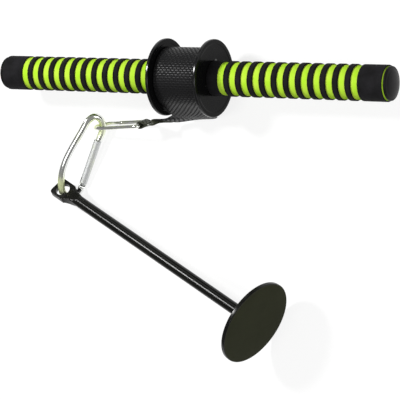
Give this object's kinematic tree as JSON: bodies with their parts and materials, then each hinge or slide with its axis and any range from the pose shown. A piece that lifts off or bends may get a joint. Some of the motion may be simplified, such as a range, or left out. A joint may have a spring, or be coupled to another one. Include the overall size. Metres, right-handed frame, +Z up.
{
  "type": "wrist roller",
  "caption": "Foam-gripped bar with a flanged strap drum, a webbing strap, two gated snap links and a flat-plated loading pin for weight plates, laid out on a bench.",
  "frame": {"origin": "middle of the whole layout's footprint, on the bench that it lies on", "axes": "+X along the grip bar, +Z up, +Y from the loading pin towards the bar"},
  "size_m": [0.451, 0.3166, 0.0875],
  "materials": {
    "steel_tube": "drawn steel tube",
    "hub_plastic": "moulded black plastic",
    "gloss_black": "glossy black plastic",
    "black_foam": "fine-celled black foam",
    "green_foam": "lime green foam",
    "webbing": "black woven webbing",
    "screw_steel": "blackened steel",
    "bright_zinc": "bright zinc plate",
    "spring_steel": "spring wire",
    "black_paint": "glossy black enamel over steel",
    "olive_paint": "dark enamel with an olive cast over steel"
  },
  "bodies": {
    "roller": {"core_tube": "steel_tube", "drum_hub": "hub_plastic", "drum_cross_pin": "steel_tube", "strap_inner_turns": "webbing", "left_grip_base": "green_foam", "left_foam_ring_1": "black_foam", "left_foam_ring_2": "black_foam", "left_foam_ring_3": "black_foam", "left_foam_ring_4": "black_foam", "left_foam_ring_5": "black_foam", "left_foam_ring_6": "black_foam", "left_foam_ring_7": "black_foam", "left_foam_ring_8": "black_foam", "left_foam_ring_9": "black_foam", "left_foam_ring_10": "black_foam", "left_foam_ring_11": "black_foam", "left_foam_ring_12": "black_foam", "left_foam_ring_13": "black_foam", "left_end_cap": "gloss_black", "left_flange": "gloss_black", "left_flange_screw_1": "screw_steel", "left_flange_screw_2": "screw_steel", "left_flange_screw_3": "screw_steel", "right_grip_base": "green_foam", "right_foam_ring_1": "black_foam", "right_foam_ring_2": "black_foam", "right_foam_ring_3": "black_foam", "right_foam_ring_4": "black_foam", "right_foam_ring_5": "black_foam", "right_foam_ring_6": "black_foam", "right_foam_ring_7": "black_foam", "right_foam_ring_8": "black_foam", "right_foam_ring_9": "black_foam", "right_foam_ring_10": "black_foam", "right_foam_ring_11": "black_foam", "right_foam_ring_12": "black_foam", "right_foam_ring_13": "black_foam", "right_end_cap": "gloss_black", "right_flange": "gloss_black", "right_flange_screw_1": "screw_steel", "right_flange_screw_2": "screw_steel", "right_flange_screw_3": "screw_steel"},
    "strap": {"strap": "webbing"},
    "snap_hook": {"snap_hook_body": "bright_zinc", "snap_hook_rivet": "bright_zinc"},
    "snap_hook_gate": {"snap_hook_gate": "bright_zinc", "snap_hook_gate_spring": "spring_steel"},
    "carabiner": {"carabiner_body": "bright_zinc", "carabiner_rivet": "bright_zinc"},
    "carabiner_gate": {"carabiner_gate": "bright_zinc", "carabiner_gate_spring": "spring_steel"},
    "loading_pin": {"loading_pin_rod": "black_paint", "loading_pin_weld": "black_paint", "loading_pin_plate": "olive_paint"}
  },
  "joints": [
    {"name": "strap_winding", "type": "hinge", "parent": "roller", "child": "strap", "pos_m": [0, 0.1194, 0.03888], "axis": [1, 0, 0], "continuous": true},
    {"name": "hook_swing", "type": "hinge", "parent": "strap", "child": "snap_hook", "pos_m": [-0.0631, 0.0718, 0.0213], "axis": [-0.1442, -0.3287, 0.9334], "range_deg": [-20, 60]},
    {"name": "snap_hook_gate_opening", "type": "hinge", "parent": "snap_hook", "child": "snap_hook_gate", "pos_m": [-0.06851, 0.07472, 0.01056], "axis": [-0.1148, 0.9424, 0.3141], "range_deg": [0, 27], "stiffness_Nm_per_rad": 0.1, "springref_deg": -17.19},
    {"name": "carabiner_swing", "type": "hinge", "parent": "snap_hook", "child": "carabiner", "pos_m": [-0.12482, 0.06791, 0.01039], "axis": [-0.1442, -0.3287, 0.9334], "range_deg": [-30, 60]},
    {"name": "carabiner_gate_opening", "type": "hinge", "parent": "carabiner", "child": "carabiner_gate", "pos_m": [-0.14271, 0.0082, 0.00442], "axis": [0.6656, -0.3367, 0.6661], "range_deg": [0, 18], "stiffness_Nm_per_rad": 0.2, "springref_deg": -17.19},
    {"name": "pin_swing", "type": "hinge", "parent": "carabiner", "child": "loading_pin", "pos_m": [-0.15906, -0.00175, 0.0165], "axis": [0.173, 0.5672, 0.8052], "range_deg": [-260, 12]}
  ]
}
